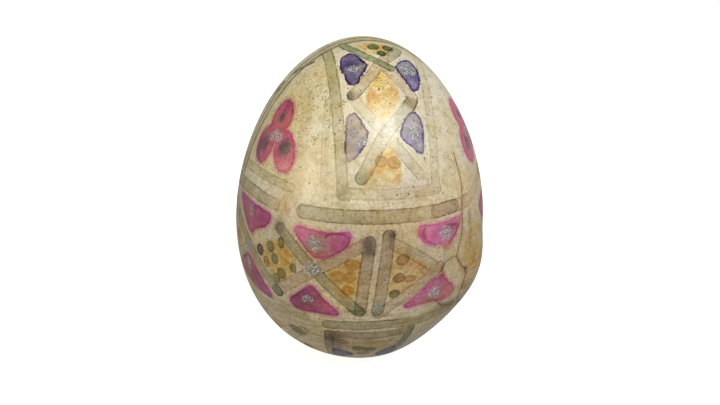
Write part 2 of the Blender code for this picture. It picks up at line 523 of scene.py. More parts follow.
# %% Paint the belt's pink triangles
areas(petals, "wine", (
    (-69.5, 56.2), (-62, 56.2), (-50, 55.6), (-41, 55.3), (-39.8, 54.2), (-42.5, 52.3), (-50.5, 50.6),
    (-52.5, 49.2), (-55.6, 50), (-61.5, 52.8),
), (
    (67, 54.6), (76, 56.4), (86, 56), (82, 52.4), (74, 50),
), (
    (-71, 39.3), (-62, 42.8), (-56, 44.6), (-50.6, 42.4), (-38.8, 35.8), (-56, 36.9),
), (
    (-31.8, 37.8), (-25, 40.4), (-20.6, 42.6), (-18, 42.3), (-14.6, 39.9), (-7.6, 36.8), (-8, 35.6),
    (-18, 35.9), (-27, 35.5),
))
areas(petals, "magenta", (
    (-28.2, 53.4), (-26, 54.6), (-17.5, 54), (-10, 53.9), (-4, 54.5), (-2.6, 53.3), (-4.5, 51.2),
    (-9, 49.8), (-16.5, 48.3), (-21, 49.4),
), (
    (24.8, 54.2), (26, 55.2), (34, 54.9), (41, 54.8), (50, 55.2), (47.5, 52.8), (44.6, 51), (40.6, 48.9),
    (38, 49.2), (36.6, 50.4), (33, 50.4), (28.8, 50.9), (25.8, 52.6),
), (
    (20, 38.2), (26, 40.7), (32.5, 42.9), (37.8, 44), (43.5, 41.2), (49.6, 38.6), (45.2, 36.8), (38, 37.1),
    (29, 37.6), (21.6, 37.2),
))

tints(
    petals["dye"],
    (-8, 52.2, 4.6, 3, "#E88CEA"), (-17.4, 51.2, 4.2, 3.6, "#CCB6B6", 0.95),
    (-24, 53.2, 3.4, 2.4, "#FAA6F8", 0.9), (-20, 49.2, 3, 1.4, "#EEA898"), (30, 52.2, 4.4, 2.8, "#EA98E6"),
    (31, 52.7, 3.8, 2.6, "#F8A8F2", 0.9), (32, 54.6, 6, 1.4, "#F8BCF2"), (43.6, 53, 2.6, 2, "#D090CC"),
    (38.6, 49.8, 4, 1.8, "#F6CCD8"), (47, 54.6, 3.6, 1.6, "#FABCF0"), (45, 38.8, 3.6, 3.4, "#F0A6A6", 0.9),
    (33, 38.2, 5, 1.8, "#E8C8C8", 0.9), (24, 38.3, 3, 1.8, "#F79AE2"), (-46, 54, 3.6, 3, "#D476C6"),
    (-21.6, 38.8, 5.8, 5, "#B06EA4", 0.9), (-12.6, 38, 3.6, 2.6, "#EC8EDA"), (-58, 40.4, 6, 7, "#C87898"),
    (37, 42.3, 3.6, 2.6, "#DC92C6"),
)
print("pink:", covered(petals))

# %% [markdown]
# ## What the belt's yellow fields hold
#
# The lozenges are yellow washes with blurred edges. On them sit small rings: a wet dot whose dye has
# moved to its rim as it dried. The rings are ovals in a layer of their own, because their material
# draws a dark rim and a pale middle.

# %% Paint the yellow fields and the small rings
areas(amber, "amber", (
    (-47.5, 47.4), (-41, 49.4), (-35.4, 50.8), (-31.6, 49.9), (-25.4, 46.9), (-29.6, 43.4), (-35.8, 40.6),
    (-41.6, 43.6),
), (
    (-13.6, 46.2), (-5, 48.2), (0.8, 49.9), (0.8, 45.6), (-0.2, 40.8), (-6.8, 39.8),
), (
    (50.6, 45.4), (52.2, 50.2), (59, 53), (69, 49.6), (73, 43), (63, 40.6),
))
areas(amber, "pale amber", ((14.2, 50.6), (20, 50), (31.6, 46), (24, 43), (12.6, 39.4), (12.8, 45)))
dots(amber, "amber", (-67.5, 46.6, 3.6, 4.8))

for spot in (
    (-31, 47.7, 2.6, 4.6, "#F5BE6C", 0.9), (-40.5, 46.6, 3.6, 4.6, "#E8DC98"), (-32, 47, 4.6, 5, "#F7CC5C"),
    (-8.2, 45, 2.8, 1.9, "#E6C894"), (-4, 42.3, 2.4, 2, "#F8CE66"), (24.6, 47.2, 2.8, 1.6, "#F2B778", 0.9),
    (28.6, 45.8, 1.8, 2, "#EDA262", 0.95), (18.6, 42.2, 4.4, 2.8, "#F6D296"),
    (56, 49.6, 1.6, 1.6, "#DDB078"), (52.6, 47.6, 1.4, 1.6, "#D9A868"), (61, 46.5, 8, 9, "#F3E0A6"),
    (57.2, 48.6, 1.3, 2.8, "#CFA468"), (61, 44.2, 1.4, 2.8, "#CFA468"),
):
    tint(amber["dye"], *spot, crisp=1.6)

dots(rings, "plum", (-46.4, 46.8, 1.7, 1.9))
dots(
    rings, "olive ring",
    (-39.7, 48.5, 1.7, 1.9), (-33.8, 50, 1.3, 1.8), (-37.2, 46.2, 1.4, 1.9), (-27.6, 45.4, 1.3, 1.6),
    (-33.8, 43.4, 1.8, 2), (-36.8, 41.9, 1.6, 1.7),
)
dots(
    rings, "umber ring",
    (-42.2, 44.8, 1.5, 1.9), (-68, 46.7, 1.8, 1.7), (18.2, 48.6, 2.2, 1.9), (17, 44.8, 2.1, 1.6),
    (22, 44.4, 2.2, 1.2),
)
dots(rings, "moss ring", (15.4, 41.3, 1.8, 1.5))
dots(
    rings, "honey ring",
    (-2.2, 47.9, 2.4, 1.9), (-8.2, 45.2, 2.2, 1.9), (-3.2, 45.2, 1.9, 1.9), (-4, 42.3, 1.9, 1.8),
)
tints(
    rings["dye"],
    (16.2, 44.6, 1.2, 1, "#A9A294"), (-39.4, 48.2, 0.9, 1, "#A6ABA0"), (-34, 43.2, 1, 1, "#B5BAAE"),
)
print("yellow:", covered(amber), "and rings:", covered(rings))

# %% [markdown]
# ## The ribbon that climbs over the tip
#
# A ribbon runs up the front, over the tip and down the back, and a second one crosses it behind the tip.
# Their edges are nearly flat cuts through the egg, like the sides of a slice of it, so they are worked out
# as such: all the places that lie equally far in front of the egg's axis, as seen from one side.

# %% Paint the ribbons' edges
RIBBON = 12.0
RIBBON_HALF = 6.7
CROSS_RIBBON_FRONT, CROSS_RIBBON_BACK = 1.6, 10.9
upper = profile_share > 55.0


def slice_line(facing, offset, foot):
    """An arch over the egg: r cos(longitude - facing) = offset, from one foot over the top to the other.

    The longitude is facing plus or minus acos(offset / r), taken both at even angles and at even shares,
    so that the points stay close together near the top and near the feet.
    """
    foot_radius = np.interp(foot, profile_share, profile_radius)
    widest = math.acos(offset / foot_radius)
    climb = np.interp(np.linspace(foot, 99.0, 120), profile_share, profile_radius)
    turns = np.concatenate((np.linspace(0.0, widest, 60), np.arccos(offset / climb[climb > offset])))
    turns = np.unique(np.concatenate((turns, -turns)))
    share = np.interp(-offset / np.cos(turns), -profile_radius[upper], profile_share[upper])
    return on_shell(facing + np.degrees(turns), share)


brush(early, slice_line(RIBBON - 90, RIBBON_HALF, 61.4), 1.8, "faint olive")
brush(early, slice_line(RIBBON + 90, RIBBON_HALF + 1.2, 62), 1.7, "haze")
for facing, offset, half in ((RIBBON, CROSS_RIBBON_FRONT, 0.9), (RIBBON + 180, CROSS_RIBBON_BACK, 0.6)):
    for shift in (-half, half):
        brush(late, slice_line(facing, offset + shift, 60), 0.55, "olive")
    brush(early, slice_line(facing, offset, 60), 2 * half, "faint olive")
strokes(
    early,
    (((-29.4, 66.5), (-31.8, 73), (-37, 79.5)), 1.9, "mist"),
    (((-16, 61), (-18, 70), (-22, 79)), 1.2, "mist"),
)
strokes(late, (((-73, 82.8), (-68.5, 84.5), (-63, 85.8), (-57.6, 87.1)), 0.5, "brown"))
tints(
    early["dye"],
    (-11, 69.6, 1.8, 2, "#CFC8B2"), (-20, 83, 4, 8, "#C6C8B6", 0.9), (-38, 90, 8, 6, "#BEBFA8", 0.9),
)
print("early strokes:", covered(early), "and late ones:", covered(late))

# %% [markdown]
# The ribbon is cut into fields like the belt, by strokes that cross. Where the brush was set down or
# lifted, the dye pooled and dried darker, so an end of a stroke can have a dye of its own.

# %% Paint the crossed strokes on the ribbon
strokes(
    early,
    (((0.5, 64.6), (12.6, 73), (33.5, 79.4)), 2.1, "faint olive", None, "brown", 1.8),
    (((-6.6, 80.8), (2.5, 84.2), (17, 88.4), (31.5, 90), (56, 91.8)), 1.9, "tan"),
    (((35, 80.2), (31, 82.8), (25, 85.5), (17, 88.5)), 1.9, "tan"),
)
strokes(
    late,
    # Painted highlight: this stroke is left faint where the right lamp's highlight lies on its upper part.
    (((28, 64.8), (12.8, 72.9), (-6.6, 80.3)), 1.8, "haze"),
    (((26.5, 87), (17.5, 88.6), (4, 90.3), (-16, 92.2), (-46, 93.6)), 1.35, "sage", None, "green", 1.8),
)
tints(
    early["dye"],
    (56, 91.6, 6, 3, "#B4C4B8", 0.9), (-8.4, 80.4, 1.5, 2.2, "#7E8078", 0.9, 1.6),
    (-1.8, 80.9, 1.3, 1.2, "#A3917E"), (0.2, 64.5, 2, 2.2, "#AEB8A2", 0.9, 1.6),
    (6, 85.6, 4, 3, "#CDBFAA", 0.7),
)
# The second spot greys the lower end of that faint stroke, whose upper part stays pale as painted highlight.
tints(late["dye"], (-16, 92.2, 7, 2.4, "#93A68B"), (23.5, 67.4, 3.6, 7.4, "#E6E1DC", 0.95, 2))
print("early strokes:", covered(early), "and late ones:", covered(late))

# %% [markdown]
# The purple blots have faded in their middles, and the dye is still strong in a line round them. They go in
# a layer of their own, whose rim holds several times as much dye as its middle.

# %% Paint the ribbon's purple blots
areas(blots, "mauve", (
    (-9, 76.4), (-4.5, 77.4), (-1.8, 76.4), (1, 74.8), (4, 73.4), (3.2, 71.8), (0.2, 69.6), (-2.8, 68.2),
    (-5.6, 67.2), (-7.6, 68.6), (-8.4, 71.3), (-8.6, 73.4),
))
areas(blots, "lilac", (
    (23, 75.2), (29, 77.2), (33.8, 76.8), (36, 75), (34.2, 72.2), (32, 68.7), (28.5, 68.7), (25, 70.3),
    (19.4, 72.7),
))
areas(blots, "purple", (
    (-28, 89.4), (-23, 91.1), (-11, 91.1), (-2, 89.3), (4.4, 88.1), (1.5, 86.5), (-2.6, 84.9), (-3.2, 83.5),
    (-7, 82.8), (-13.6, 83.5), (-15, 85), (-21, 86.2),
), (
    (31, 87.4), (43.5, 88.8), (58, 88.4), (57, 86), (49, 83), (42, 81.1), (36.4, 81.2), (35, 83.6),
    (31.6, 85.8),
))
tints(
    blots["dye"],
    (-12, 87.4, 6.4, 4.4, "#463F92", 0.95), (45, 84.4, 4.2, 3.8, "#6459A6", 0.9),
    (-5, 69, 3, 2.6, "#E4DCE8", 0.9), (-1.5, 69.7, 1.6, 1.4, "#B0A6CE", 0.9),
    (-0.6, 70.6, 1.4, 1.6, "#A096C8", 0.9), (-7.8, 72, 1.4, 3.6, "#B6AACC"),
    (-2.6, 73.8, 4.4, 3.4, "#B8AB9E"), (25.5, 71.4, 3.6, 1.8, "#A69EDA"), (33.8, 72.4, 1.5, 3.6, "#A29AD6"),
    (29, 75.6, 3.4, 1.6, "#CCC8DA"), (42, 87.4, 4.6, 2.4, "#A8A2CA", 0.9),
    (3, 87.9, 2.2, 1.4, "#A096BE", 0.9), (-4, 84, 1.8, 2, "#A499C4", 0.4),
)
print("purple:", covered(blots))

# %% [markdown]
# Between the blots lie yellow lozenges with rings on them, as in the belt. They go in the same layer as
# the belt's, because the yellow dye is just as blurred and blotchy here.

# %% Paint the yellow lozenges on the ribbon
areas(amber, "gold", (
    (15.6, 87), (27, 81.6), (18, 76.8), (11, 74.6), (0.4, 79.8), (8, 84.4),
), (
    (13.8, 71.6), (4.6, 66.2), (-1, 63), (8, 62.5), (17.6, 62.8), (19, 66.4),
), (
    (-19, 94.2), (4, 95.6), (26, 95.4), (57, 92.4), (24, 90.3), (8, 91.4),
))
tints(
    amber["dye"],
    (5.5, 80.9, 3.2, 1.8, "#EFA850", 0.9), (22, 81.4, 3, 2.4, "#EDAA48", 0.9),
    (12.6, 78, 3.6, 1.6, "#F8CC80", 0.9), (5.4, 65.6, 2.6, 1.8, "#F6BC74", 0.9),
    (8, 63.4, 9, 2.6, "#EDE6C8", 0.9), (16.6, 64.6, 1.8, 2.2, "#F8C684"), (-2, 93.6, 3, 2, "#F0C06C"),
    (40, 93.4, 3.4, 1.8, "#F2C070"),
)
dots(rings, "dun ring", (9.5, 67.8, 2, 1.8), (15.6, 67.5, 2.1, 2))
dots(rings, "bottle", (17, 93.8, 2, 1.8), (42, 92.9, 2, 1.6), (24.4, 91.3, 1.6, 1.4))
print("yellow:", covered(amber))

# %% [markdown]
# ## The side fields and their flowers
#
# Beside the ribbon the shell is left almost bare, for a flower with three petals. A petal is one dab of a
# wet crimson brush, with a dark dot that has sunk into it while it was wet, and so has no rim of its own.
# The three petals meet under a silver oval.

# %% Paint a flower
PETALS = (
    {"right": -0.5, "up": 3.1, "wide": 4.9, "high": 6, "turned": 8, "dot": (1.4, 2), "dot_up": 0},
    {"right": -2.2, "up": -1.8, "wide": 4.9, "high": 6.2, "turned": 4, "dot": (2, 2.8), "dot_up": 0.2},
    {"right": 2.7, "up": -1.8, "wide": 4.5, "high": 7, "turned": 26, "dot": (2.7, 2.8), "dot_up": 0.4},
)
SUNK_DOT = "#8F85A2"


def flower(longitude, share, side=1.0):
    """Three petals round a silver oval; a side of -1 mirrors it."""
    for petal in PETALS:
        place = moved(longitude, share, side * petal["right"], petal["up"])
        fill(petals, oval(*place, petal["wide"], petal["high"], side * petal["turned"]), "crimson")
    for petal in PETALS:
        dot = moved(longitude, share, side * petal["right"], petal["up"] + petal["dot_up"])
        tint(petals["dye"], *dot, *petal["dot"], SUNK_DOT, 1, 2.5)
    dots(silver, "clear", (longitude, share, 3.2, 2.2, 6))


flower(-49.6, 70.1)
flower(77.5, 69.8)
tints(
    petals["dye"],
    (-60, 66.8, 3, 5.2, "#A062A4", 0.9), (-49, 76.6, 3.8, 3.4, "#C86EBE", 0.9),
    (-36.8, 64.8, 3.8, 2.8, "#F8BADE", 0.9),
)
print("pink:", covered(petals), "and silver:", covered(silver))

# %% [markdown]
# ## Under the belt
#
# The ribbon starts again below the belt, as a frame with purple corners, and the sides of the egg's blunt
# end carry more fields. The photograph shows little of them, so they follow the same plan.

# %% Paint the frame under the belt
strokes(
    early,
    (((-13.5, 30.1), (6, 30.1)), 1.8, "grey", "brown"),
    (((6, 30.1), (25, 30.6)), 1.8, "grey"),
    (((-13.5, 29.8), (-14.6, 26), (-17, 18)), 1.5, "grey", "brown"),
    (((27, 30.9), (26.4, 28), (25.4, 23.8), (25, 17)), 1.6, "olive", "green"),
    (((-27.5, 29.4), (-34, 27), (-43, 23.2)), 1.9, "faint olive"),
)
tint(early["dye"], 28, 27, 3, 6, "#96A090")
dots(rings, "umber ring", (-8, 27.6, 3, 1.4, -6))
areas(rings, "olive ring", ((-37, 29.6), (-31.5, 30.2), (-25.6, 27.8), (-30, 26.8), (-34.6, 27.2)))
tint(rings["dye"], -32, 28.6, 5, 4, "#B8B08C", 0.9)
areas(
    blots, "purple", ((-13.6, 25), (-2.5, 22.2), (-1, 20), (-16.6, 17.4)),
    ((12, 22.4), (24.4, 25.4), (26, 18.6), (14, 18.8)),
)
areas(amber, "pale amber", ((-4, 27.4), (12, 28.2), (20, 27.6), (13, 22.6), (4.6, 20), (-1.6, 22.4)))
dots(amber, "orange", (-47, 27.6, 4, 2.8, 18))
dots(rings, "umber ring", (4.6, 22, 2, 1.6))
dots(rings, "moss ring", (1.5, 25, 2, 1.6), (8, 24.4, 2, 1.6))
dots(rings, "plum", (-50.5, 26, 1.9, 1.6))
print("purple:", covered(blots), "and rings:", covered(rings))

# %% [markdown]
# ## The side that the photograph doesn't show
#
# A painter carries the plan all round, so the hidden half gets the same motifs from short functions and
# loops: crossings of the belt with their triangles, lozenges and silver, the ribbon's other half, the
# crossing ribbon, two more flowers, and the plain frames of the blunt end.

# %% Carry the belt round the back
HIDDEN_START, HIDDEN_END, HIDDEN_CROSSINGS = 76.0, 270.0, 7
crossings = np.linspace(HIDDEN_START, HIDDEN_END, HIDDEN_CROSSINGS)
step = crossings[1] - crossings[0]
SILVER_IN_BELT = ((46, 2.6), (52.4, 2.2), (39.4, 2))


def belt_crossing(longitude, lean):
    """One crossing: two strokes, a triangle above and below, and silver in the middle."""
    reach = 0.46 * step
    rise = line((longitude - reach, 39), (longitude, 45.6 + lean), (longitude + reach, 52.4))
    fall = line((longitude - reach, 52.8), (longitude, 46.2 - lean), (longitude + reach, 38.6))
    brush(late, rise, STROKE, "tan")
    brush(early, fall, STROKE, "olive", "dark", "green")
    upper = ((-12, 54.6), (0, 54.9), (12.5, 54.4), (11, 52), (0.5, 48.2), (-10, 51.6))
    lower = ((-12.5, 36.8), (-5, 40), (0, 43.4), (5, 41), (13, 36.6), (0, 36.2))
    areas(petals, "magenta", upper, middle=longitude)
    areas(petals, "wine", lower, middle=longitude)
    dots(silver, "clear", *((longitude, share, size, 0.9 * size) for share, size in SILVER_IN_BELT))


def belt_lozenge(longitude):
    """One yellow lozenge between two crossings, with four rings on it."""
    areas(amber, "amber", ((0, 50.8), (9, 46.2), (1, 40.8), (-9, 45.4)), middle=longitude)
    dots(rings, "umber ring", (longitude - 2.8, 47.6, 1.8, 1.7), (longitude + 2.4, 43.8, 1.8, 1.7))
    dots(rings, "olive ring", (longitude + 2.6, 47.2, 1.8, 1.7), (longitude - 2.6, 44, 1.8, 1.7))


for place, longitude in enumerate(crossings[1:]):
    belt_crossing(longitude, 0.3 * (-1) ** place)
for longitude in crossings[:-1] + 0.5 * step:
    belt_lozenge(longitude)
areas(petals, "wine", ((-5, 37.6), (-1, 42.6), (4, 41), (11, 36.8), (0, 36.2)), middle=HIDDEN_START)
strokes(late, (((70.5, 42.4), (HIDDEN_START, 45.4), (90, 52.4)), STROKE, "rose grey"))
strokes(
    early,
    (((70.5, 50), (HIDDEN_START, 46.4), (90, 38.8)), STROKE, "faint olive"),
    (((78, 61), (98, 60.2), (122, 58.2), (150, 57.3), (230, 57.3), (281, 58)), 2.2, "olive"),
    (((101, 63.4), (122, 62.4), (150, 61.8), (230, 61.8), (283, 62.2)), 1.6, "faint olive"),
    (((74, 33.8), (98, 34.2), (180, 34.2), (281, 33.9)), 1.9, "olive"),
    (((82, 30.4), (180, 30.4), (302, 30.4)), 1.6, "faint olive"),
)
print("crossings:", HIDDEN_CROSSINGS, "and", round(step, 1), "degrees from one to the next")

# %% [markdown]
# The ribbons' edges are there already, because each is one arch over the whole egg. Their crossed
# strokes, blots and lozenges are repeated at three more crossings, with one half the mirror of the other.

# %% Carry the ribbons over the back
for middle in (RIBBON + 180, RIBBON + 103.5, RIBBON - 109):
    rise = ((middle - 12, 64.6), (middle, 72.2), (middle + 19, 79.4))
    fall = ((middle + 13.5, 64.4), (middle, 72.2), (middle - 19, 79.4))
    strokes(early, (rise, 1.9, "faint olive", "green", "brown"))
    strokes(late, (fall, 1.8, "haze", None, "green"))
    below, above = ((0, 70.8), (-9, 65.2), (8.6, 65)), ((0, 74.6), (14, 79.6), (-14, 79.6))
    areas(amber, "gold", below, above, middle=middle)
    blot = ((6, 72.4), (10, 75.6), (14.6, 76), (14.6, 72.4), (12.6, 69.4), (9.6, 69.8))
    for side in (-1, 1):
        areas(blots, "purple", blot, middle=middle, side=side)
        dots(silver, "clear", (middle + side * 11.4, 73, 1.6, 1.8))
        dots(rings, "umber ring", (middle + side * 3.2, 67.4, 1.8, 1.7))
field = ((-62, 94.6), (62, 94.6), (34, 90.6), (0, 89.2), (-34, 90.6))
areas(amber, "gold", field, middle=RIBBON + 180)
for right in (-36, 0, 36):
    dots(rings, "bottle", (RIBBON + 180 + right, 92.8 - 0.02 * abs(right), 1.8, 1.6))
flower(156.5, 68.4)
flower(227.5, 68.6, -1)
print("purple:", covered(blots), "and yellow:", covered(amber))

# %% [markdown]
# The blunt end gets the frame under the belt three more times, a quarter turn apart, and a yellow spot
# with a dark ring between each two frames.

# %% Paint the hidden side of the blunt end
for middle in (102, 192, 282):
    for side in (-1, 1):
        edge = ((middle + side * 20, 30.2), (middle + side * 22, 22), (middle + side * 27, 14))
        strokes(early, (edge, 1.7, "faint olive", "green"))
        areas(blots, "mauve", ((6, 22.4), (15, 25.6), (18, 19), (8, 18.6)), middle=middle, side=side)
        dots(rings, "bottle", (middle + side * 4, 25.2, 1.8, 1.6))
    areas(amber, "pale amber", ((-9, 27.8), (9, 27.8), (5, 22.4), (0, 20), (-5, 22.4)), middle=middle)
for middle in (57, 147, 237, 327):
    dots(amber, "orange", (middle, 21, 4.4, 3.6))
    dots(rings, "plum", (middle, 21, 1.8, 1.8))
print("all round, pink:", covered(petals), "purple:", covered(blots), "yellow:", covered(amber))

# %% [markdown]
# ## Silver
#
# Each pink and purple area, and each crossing, has a dab of glitter in glue. The grains are far smaller
# than the dab, so the dab is an oval here and the grains come from its material. Some dabs are worn and
# have gone dull, which the colour kept with them says.

# %% Dab on the silver
dots(
    silver, "clear",
    (38.9, 52.5, 2.7, 2.4), (-56.8, 41.8, 1.4, 2.6), (-21.6, 39, 2.2, 1.6), (34.9, 39.9, 2.7, 2.2),
    (-18.6, 46.1, 3.1, 2.7), (38.9, 46.8, 1.3, 2.4), (-9, 86.8, 2.8, 1.5), (44.4, 86.2, 3.4, 2.9),
    (0.4, 71.6, 1.6, 1.6), (28.9, 72.8, 2.2, 2.5), (76, 53.4, 1.8, 1.6),
)
dots(
    silver, "dull",
    (-54.8, 54, 1.6, 2.6), (-18, 51.4, 2.8, 2.5), (-54.4, 46.5, 2.4, 2.6), (8.6, 38.1, 1.9, 1.9),
    (-4.6, 73, 1.9, 1.9),
)
print("silver:", covered(silver))

# %% [markdown]
# ## Grime and painted shade
#
# Old eggs are never one colour. Light stains are soft oval spots that colour the shell, and painted shade
# darkens the shell round the egg's belly, less above and below it. Specks and dust crowd in some places, so
# how thickly they lie is a number of its own for each point. The crack has drawn in dirt, and its lines are
# a distance too.

# %% Lay on stains, painted shade, specks and crack lines
BELLY_SHADE = "#EBE4DB"
BELLY_TOP, BELLY_FOOT = 58.5, 34.0
SPECKS_EVERYWHERE, SPECKS_AT_MOST = 0.06, 0.95
stains_and_shade = np.ones((len(shell), 3))
tints(
    stains_and_shade,
    (-34, 57.4, 3.4, 3.8, "#E8BE84", 1), (-41, 77, 3.8, 11, "#F0DA98", 0.9), (-56, 73, 9, 14, "#ECE8C2"),
    (-30, 74, 3, 14, "#ECE5D8", 0.7), (12, 97, 26, 8, "#DEDAC8"), (58, 33, 8, 6, "#C6AE92"),
    (39, 34.3, 6, 2.6, "#C4AA8E"), (46, 33.5, 7, 4, "#C6B290"), (66, 37, 8, 8, "#D8C2A8"),
    (60, 37.3, 2.2, 3.4, "#C2AFAE"), (57, 40, 2, 3, "#CFA090"), (33.2, 45.2, 3.4, 1.6, "#E2B888"),
    (60, 41, 6, 9, "#E0C8AC"), (50, 42, 7, 7, "#F2E2C8", 0.7), (47, 34.7, 6, 1.6, "#A48E72"),
    (5, 26.6, 17, 7.4, "#D4CDC0", 0.9, 2), (-46, 80, 5, 12, "#EEDDA8"),
    (37.8, 44.6, 1.6, 1.6, "#C99F68", 0.9), (46, 44, 9, 9, "#FAEFE0", 0.9),
    (-6.5, 59.6, 2.4, 2.4, "#D6D0B8", 0.7), (62, 66, 14, 20, "#F4EADF", 0.7), (20, 53, 12, 14, "#F6E6E0"),
    (20, 62, 12, 5, "#F1E6E8"), (-30, 31, 12, 9, "#E4DCC8", 0.7), (10, 36, 22, 6, "#F2ECE2", 0.7),
    (-62, 36, 12, 12, "#E2DEC2"), (75, 58, 12, 12, "#EEDCD2"), (5, 20, 30, 12, "#EEEADC"),
    (-82, 62, 14, 26, "#E2E2D0"), (-76, 50, 9, 14, "#CCC8BC"), (150, 80, 14, 16, "#F0E4BE"),
    (210, 55, 18, 12, "#ECE0CC"), (120, 30, 16, 14, "#E4DAC4"), (0, 3, 9, 9, "#CFC6B2", 0.6),
)

# Painted shade: the shell is darkened most round the belly, a little above it and by half as much low down.
belly_shade = np.clip((BELLY_TOP - point_share) / 5.0, 0.15, 1.0)
belly_shade *= np.clip((point_share - BELLY_FOOT) / 12.0, 0.5, 1.0)
stains_and_shade *= 1.0 - belly_shade[:, None] * (1.0 - linear(BELLY_SHADE))
tints(
    stains_and_shade,
    # The first spot is painted shade: a broad darkening over the middle of the belt's front.
    (-6, 50.5, 28, 12, "#CFC3B6", 0.8, 1.4), (-10.4, 26, 3, 4.4, "#94868C"),
    (-12.5, 28.6, 2.4, 2, "#8C807C"), (-35.2, 53.2, 2.5, 2.5, "#8F8580", 0.9, 1.8),
    (56.3, 53.6, 1.3, 3, "#94866C", 0.7, 1.4), (3.6, 52.3, 2.2, 2.2, "#746A70", 0.9, 1.8),
    (4.4, 50.7, 2.2, 1.8, "#7E7478", 0.85, 1.8), (13.8, 53.9, 1.5, 1.3, "#8A8186", 0.8, 1.4),
    (-21.5, 62.6, 14, 13, "#F3E7CA", 0.9), (-7.4, 61.6, 2, 1.9, "#BDB596", 0.8, 1.6),
    (-34, 83, 12, 14, "#F1EAD2", 0.9), (-27, 71.5, 4.5, 9, "#FFFFFF"), (-3, 60.4, 6, 3, "#FFFFFF", 0.6),
    (31, 52.8, 5, 3.2, "#FFF6FF", 0.9), (-24, 53, 4, 3, "#FFFFFF", 0.4),
)
specks = np.full(len(shell), SPECKS_EVERYWHERE)
for longitude, share, wide, high, crowd in (
    (-46, 80.5, 11, 15, 1), (-33, 73, 5, 18, 0.8), (10, 88, 14, 6, 0.45), (-14, 76, 5, 18, 0.45),
    (36, 78, 8, 8, 0.4), (52, 74, 14, 14, 0.4), (24, 86, 9, 7, 0.7), (-45, 62.5, 12, 3, 0.5),
    (25, 60, 14, 6, 0.35), (-10, 30, 20, 5, 0.4),
):
    middle = on_shell(longitude, share)
    gap = np.linalg.norm((shell - middle) / (0.5 * wide, 0.5 * wide, 0.5 * high), axis=1)
    specks += crowd * np.exp(-(gap**2))

for places, width in ((CRACK_TRUNK, 0.14), (CRACK_RIGHT, 0.22), (CRACK_LEFT, 0.18), (FOLD, 0.20)):
    strokes(cracks, (places, width, "umber ring"))
dots(cracks, "umber ring", (55.2, 42.2, 0.9, 0.8))
print("the stains let through, on average:", stains_and_shade.mean(axis=0).round(3))

# %% [markdown]
# ## The mesh
#
# The grid becomes one closed mesh: quads between the rings, and a fan of triangles at each pole. It is
# made from its points and faces, with no operator. It is shaded smooth, as an eggshell has no edges.

# %% Build the painted shell
def shell_faces():
    """Corner indices of the quads and of the two fans, with outward faces."""
    index = np.arange(RINGS * COLUMNS).reshape(RINGS, COLUMNS)
    beside = np.roll(index, -1, axis=1)
    quads = np.stack((index[:-1], beside[:-1], beside[1:], index[1:]), axis=-1).reshape(-1, 4)
    bottom, top = RINGS * COLUMNS, RINGS * COLUMNS + 1
    low_fan = np.stack((beside[0], index[0], np.full(COLUMNS, bottom)), axis=-1)
    high_fan = np.stack((index[-1], beside[-1], np.full(COLUMNS, top)), axis=-1)
    return quads.tolist() + low_fan.tolist() + high_fan.tolist()


turn = np.radians(point_longitude)
out = np.interp(point_share, profile_share, profile_out)
up = np.interp(point_share, profile_share, profile_up)
outward = np.stack((out * np.sin(turn), -out * np.cos(turn), up), axis=-1)
mesh = bpy.data.meshes.new("painted_egg")
mesh.from_pydata((MM * (shell + lift[:, None] * outward)).tolist(), [], shell_faces())
mesh.shade_smooth()
egg = add_object("painted_egg", mesh)
print("faces:", len(mesh.polygons))

# %% [markdown]
# Each layer of paint goes onto the mesh as attributes: numbers or colours, one for each point, that a
# material can read by name. A distance goes in as a plain number, so it can be below zero.

# %% Hand the paint to the mesh
def store(name, values):
    """Keep one number or one colour for each point of the mesh."""
    kind, field = ("FLOAT", "value") if values.ndim == 1 else ("FLOAT_COLOR", "color")
    if values.ndim == 2:
        values = np.concatenate((values, np.ones((len(values), 1))), axis=1)
    attribute = mesh.attributes.new(name, kind, "POINT")
    attribute.data.foreach_set(field, values.astype(np.float32).ravel())


for name, layer in (
    ("amber", amber), ("early", early), ("late", late), ("ring", rings),
    ("blot", blots), ("petal", petals), ("silver", silver),
):
    store(name + "_edge", layer["edge"])
    store(name + "_dye", layer["dye"])
store("crack_edge", cracks["edge"])
store("stain_and_shade", stains_and_shade)
store("specks", np.clip(1.1 * specks, 0.0, SPECKS_AT_MOST))
print("attributes:", len(mesh.attributes))

# %% [markdown]
# ## The finish: dyed eggshell
#
# Eggshell is calcite, laid down in tiny columns, so it is matt to silky and faintly pitted. Age has
# turned this one cream, with yellow and grey clouds and brown specks. Each dye then filters what lies
# under it. Its edge is the stored distance, made ragged by noise, and a darker rim runs just inside it,
# where the dye gathered as it dried.

# %% Helpers for the material
def add(tree, kind, settings=None, inputs=None):
    """Add a node, with its settings, and its inputs as values or as links from other nodes."""
    node = tree.nodes.new(kind)
    for name, value in (settings or {}).items():
        setattr(node, name, value)
    for name, value in (inputs or {}).items():
        if isinstance(value, bpy.types.NodeSocket):
            tree.links.new(value, node.inputs[name])
        else:
            node.inputs[name].default_value = value
    return node


def cells(size_mm):
    """Scale of a pattern on Object coordinates, in metres, whose features are about that many mm wide."""
    return 1.0 / (size_mm * MM)


def colour(code):
    return (*linear(code), 1.0)


def ramp(tree, value, low, high, to_low=0.0, to_high=1.0):
    """A smooth step of a value, from one pair of numbers to another."""
    limits = {"From Min": low, "From Max": high, "To Min": to_low, "To Max": to_high}
    node = add(tree, "ShaderNodeMapRange", {"interpolation_type": "SMOOTHSTEP"}, {"Value": value, **limits})
    return node.outputs["Result"]


def maths(tree, operation, *values):
    return add(tree, "ShaderNodeMath", {"operation": operation}, dict(enumerate(values))).outputs[0]


def mix(tree, blend, share, below, above):
    """Mix two colours; below and above are sockets or hex codes."""
    below, above = (colour(c) if isinstance(c, str) else c for c in (below, above))
    settings = {"data_type": "RGBA", "blend_type": blend}
    return add(tree, "ShaderNodeMix", settings, {0: share, 6: below, 7: above}).outputs[2]


